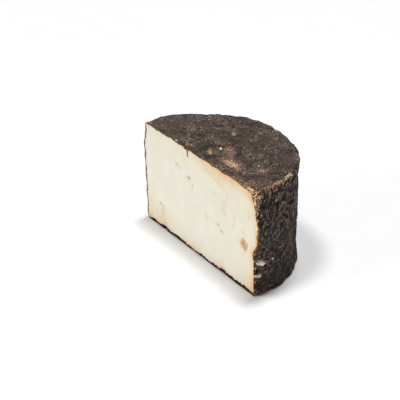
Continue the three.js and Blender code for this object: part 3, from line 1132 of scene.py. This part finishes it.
def rind_stained(s, place, tone, grain, colour):
    """The colour under the local stains and the side's painted shade, which have ragged borders and the
    rind's texture.
    """
    border = s.total((s.even(s.noise(place, 1.8, detail=3, roughness=0.65)), 0.4), (grain, 0.15))
    speckle = s.even(s.noise(s.moved(place, 20), 1.7, detail=3, roughness=0.7))
    texture = s.total((0.2, 1), (tone, 0.6), (speckle, 0.3))
    for name, tints, low, high, most in RIND_STAINS:
        share = s.between(s.math("ADD", s.field(name), border), low, high, 0, most)
        colour = s.mix(share, colour, s.ramp(texture, list(zip(STAIN_STOPS, tints))))
    return colour


def rind_scattered(s, place, colour):
    """The colour under the crumbs of the cut's edge and the painted shade of the gaps between them, and under
    dust with painted glints and the painted shade of pits all over.
    """
    flecks = s.between(s.field("flecks"), 0.1, 0.7)
    # Dark gaps between the crumbs: painted shade
    gap_shade = s.between(s.noise(s.moved(place, 70), 1.9, roughness=0.6), 0.54, 0.6)
    colour = s.mix(s.times(gap_shade, s.times(flecks, 0.45)), colour, GAP_SHADE_BROWN)
    crumbled = s.total((s.noise(s.moved(place, 50), 2.2, roughness=0.6), 1), (flecks, 0.14))
    crumbs = s.times(s.between(crumbled, 0.72, 0.75), s.between(flecks, 0, 0.15))
    colour = s.mix(crumbs, colour, CRUMB_CREAM)
    # Pale dots: dust, and painted glints
    dust_and_glints = s.dots(place, spacing=3.2, reach=0.75, density=0.1)
    colour = s.mix(s.times(dust_and_glints, 0.8), colour, DUST_AND_GLINT_GREY)
    # Dark pits all over: painted shade
    pit_shade = s.dots(s.moved(place, 110), spacing=2.7, reach=0.7, density=0.13)
    return s.mix(s.times(pit_shade, 0.8), colour, PIT_SHADE_BROWN)


def rind_material():
    """Dry dark brown rind, with painted shade in its creases and painted highlights on its crests, scuffed
    and stained in places.
    """
    s = Shader("rind")
    place = s.place()
    noises = {
        "lumps": s.noise(place, 3.4, detail=3, roughness=0.6),
        "grain": s.noise(place, 1.0, roughness=0.6),
        "streaks": s.noise(s.along(TOP_STREAK_HEADING), 1.5, roughness=0.6, distortion=0.3),
        "folds": s.noise(s.along(FOLD_HEADING), 1.1, roughness=0.6, distortion=0.3),
    }
    patterns = rind_patterns(s, place, noises)
    tone = rind_tone(s, place, patterns)
    colour = rind_tinted(s, place, s.ramp(tone, RIND_BROWNS))
    colour = rind_stained(s, place, tone, patterns["grain"], colour)
    colour = rind_scattered(s, place, colour)
    ribs = s.times(s.total((noises["folds"], 0.8), (patterns["furrows"], -0.4)), s.field("side"))
    normal = s.bump(s.total((noises["lumps"], 0.5), (noises["grain"], 0.35), (ribs, 1)), depth=0.9)
    roughness = s.between(noises["grain"], 0.3, 0.7, 0.55, 0.8)
    return s.finish(colour, roughness, normal, Specular_IOR_Level=0.2)


PASTE_CREAMS = ((240, 234, 218), (243, 238, 224))
STAIN_YELLOW = (238, 222, 176)
# The white of the painted highlights beside the torn lines
HIGHLIGHT_WHITE = (254, 250, 240)
TEAR_YELLOW = (216, 182, 104)
EYE_OCHRE = (226, 180, 112)
CRACK_TAN = (206, 180, 132)
DRIP_RED = (134, 66, 34)
PASTE_SCATTER = (0.004, 0.003, 0.002)  # metres


def paste_torn(s, colour):
    """The colour under the fine tears, with painted highlights beside their lines, and where their yellowish
    lines run.
    """
    torn = s.between(s.field("scribble"), 0.05, 0.65)
    flat = s.along(0, stretch=1.9)
    # White lines beside the yellowish ones: painted highlights
    highlight = s.line(s.noise(s.moved(flat, 20), 2.0, roughness=0.6, distortion=1.2), width=0.4)
    lines = s.line(s.noise(flat, 2.1, roughness=0.6, distortion=1.2), width=0.45)
    drawn = s.times(lines, torn)
    colour = s.mix(s.times(s.times(highlight, torn), 0.8), colour, HIGHLIGHT_WHITE)
    return s.mix(s.times(drawn, 0.95), colour, TEAR_YELLOW), drawn


def paste_edged(s, place, colour):
    """The colour with the rind's ragged section round it, which along the foot is near-black with painted
    contact shadow.
    """
    fine, broad = s.even(s.noise(place, 2.2)), s.even(s.noise(place, 9, detail=1))
    ragged = s.total((s.field("inside"), 1), (fine, 0.25), (broad, 0.3))
    return s.mix(s.between(ragged, 0.8, 1.1, 1, 0), colour, s.field("section", "Color"))


def paste_material():
    """Smooth cream paste, peach and yellow towards the rind, with the rind's section round it and painted
    contact shadow along its foot.
    """
    s = Shader("paste")
    place = s.place()
    curd = s.noise(place, 1.2)
    uneven = s.even(s.noise(place, 4, detail=3, roughness=0.55))
    patchy = s.total((1.0, 1), (uneven, 0.3))
    colour = s.mix(s.even(s.noise(place, 22, detail=3)), *PASTE_CREAMS)
    colour = s.mix(s.times(s.field("yellow"), patchy), colour, STAIN_YELLOW)
    colour = s.mix(s.between(s.times(s.field("glow"), patchy), 0, 1), colour, s.field("tint", "Color"))
    colour, drawn = paste_torn(s, colour)
    # The eyes' ochre lining, with painted shade under their upper rims and a painted highlight in their
    # middle
    ochre_and_painted_light = s.between(s.total((s.field("ochre_and_painted_light"), 1), (uneven, 0.15)), 0.1, 0.8, 0, 0.9)
    colour = s.mix(ochre_and_painted_light, colour, EYE_OCHRE)
    wander = s.total((s.field("crack_side"), 1), (s.even(s.noise(place, 2.4)), 0.7))
    crack = s.times(s.between(s.math("ABSOLUTE", wander), 0.1, 0.6, 1, 0), s.field("crack"))
    colour = s.mix(s.times(crack, 0.42), colour, CRACK_TAN)
    drip = s.between(s.total((s.field("drip"), 1), (s.even(curd), 0.3)), 0.7, 1.8, 0.95, 0)
    colour = paste_edged(s, place, s.mix(drip, colour, DRIP_RED))
    height = s.total((curd, 0.4), (s.noise(place, 5, detail=3), 0.8), (crack, -0.8), (drawn, -0.3))
    return s.finish(
        colour,
        0.6,
        s.bump(height, depth=0.25),
        Specular_IOR_Level=0.15,
        Subsurface_Weight=0.12,
        Subsurface_Radius=PASTE_SCATTER,
        Subsurface_Scale=1.0,
    )


FLOOR_GREYS = ((245, 245, 245), (247, 247, 247))


def floor_material():
    """Plain pale matt floor, very faintly uneven."""
    s = Shader("studio_floor")
    place = s.place()
    shade = s.mix(s.between(s.noise(place, 40, detail=3), 0.3, 0.7), *FLOOR_GREYS)
    return s.finish(shade, 0.9, s.bump(s.noise(place, 2), depth=0.02), Specular_IOR_Level=0.1)


# The piece and the studio


def linked(name, data):
    """A new object in the scene."""
    made = bpy.data.objects.new(name, data)
    bpy.context.scene.collection.objects.link(made)
    return made


def cheese():
    """The half wheel, which stands for the CAD's solid."""
    mesh = cheese_mesh()
    for material in (rind_material(), paste_material()):
        mesh.materials.append(material)
    piece = linked("cheese", mesh)
    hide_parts(NODE)
    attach(piece, "root")


FLOOR_HALF = 30.0  # metres


def studio_floor():
    mesh = bpy.data.meshes.new("studio_floor")
    corners = [(x * FLOOR_HALF, y * FLOOR_HALF, 0) for x, y in ((-1, -1), (1, -1), (1, 1), (-1, 1))]
    mesh.from_pydata(corners, [], [(0, 1, 2, 3)])
    mesh.materials.append(floor_material())
    linked("studio_floor", mesh)


# The camera's heading round the object, its height angle and roll, its distance and the point it looks at
CAMERA_AZIMUTH = 57.212
CAMERA_ELEVATION = 28.174
CAMERA_ROLL = -1.085
CAMERA_DISTANCE = 1394.263
CAMERA_FOCUS = (-15.8, -36.5, 50.7)
SENSOR_WIDTH = 36.0
FOCAL_LENGTH = 128.83
CLIP_START = 0.05  # metres
CLIP_END = 100.0

DAYLIGHT_STRENGTH = 0.04
LIGHT_FOCUS = (0, 0, 50)
# Soft round lights: name, azimuth and elevation, distance and size in metres, watts
SOFTBOXES = [
    ("over_back", -160, 80, 4.0, 1.0, 111),
    ("over_front", -20, 76, 4.0, 0.8, 57),
    ("front", -12, 10, 4.0, 1.8, 50),
    ("right", 75, 6, 4.0, 1.4, 31),
]


def heading(azimuth, elevation):
    """The unit vector towards an azimuth round the object, 0 at the cut face, and an elevation."""
    a, e = np.radians(azimuth), np.radians(elevation)
    return np.array([np.sin(a) * np.cos(e), -np.cos(a) * np.cos(e), np.sin(e)])


def aimed(position, focus, roll=0.0):
    """The matrix of a camera or light at position, which looks at focus."""
    back = Vector(position) - Vector(focus)
    turn = back.to_track_quat("Z", "Y").to_matrix().to_4x4()
    return Matrix.Translation(position) @ turn @ Matrix.Rotation(np.radians(roll), 4, "Z")


def add_camera():
    data = bpy.data.cameras.new("camera")
    data.sensor_width = SENSOR_WIDTH
    data.lens = FOCAL_LENGTH
    data.clip_start, data.clip_end = CLIP_START, CLIP_END
    camera = linked("camera", data)
    focus = np.array(CAMERA_FOCUS) * MM
    position = focus + heading(CAMERA_AZIMUTH, CAMERA_ELEVATION) * CAMERA_DISTANCE * MM
    camera.matrix_world = aimed(position, focus, CAMERA_ROLL)
    bpy.context.scene.camera = camera


def add_softbox(name, azimuth, elevation, distance, size, watts):
    data = bpy.data.lights.new(name, "AREA")
    data.shape, data.size, data.energy = "DISK", size, watts
    focus = np.array(LIGHT_FOCUS) * MM
    linked(name, data).matrix_world = aimed(focus + heading(azimuth, elevation) * distance, focus)


def add_daylight():
    world = bpy.data.worlds.new("studio")
    world.use_nodes = True
    background = world.node_tree.nodes["Background"].inputs
    background["Color"].default_value = (1, 1, 1, 1)
    background["Strength"].default_value = DAYLIGHT_STRENGTH
    bpy.context.scene.world = world
    bpy.context.scene.view_settings.view_transform = "Standard"


cheese()
studio_floor()
add_camera()
add_daylight()
for softbox in SOFTBOXES:
    add_softbox(*softbox)
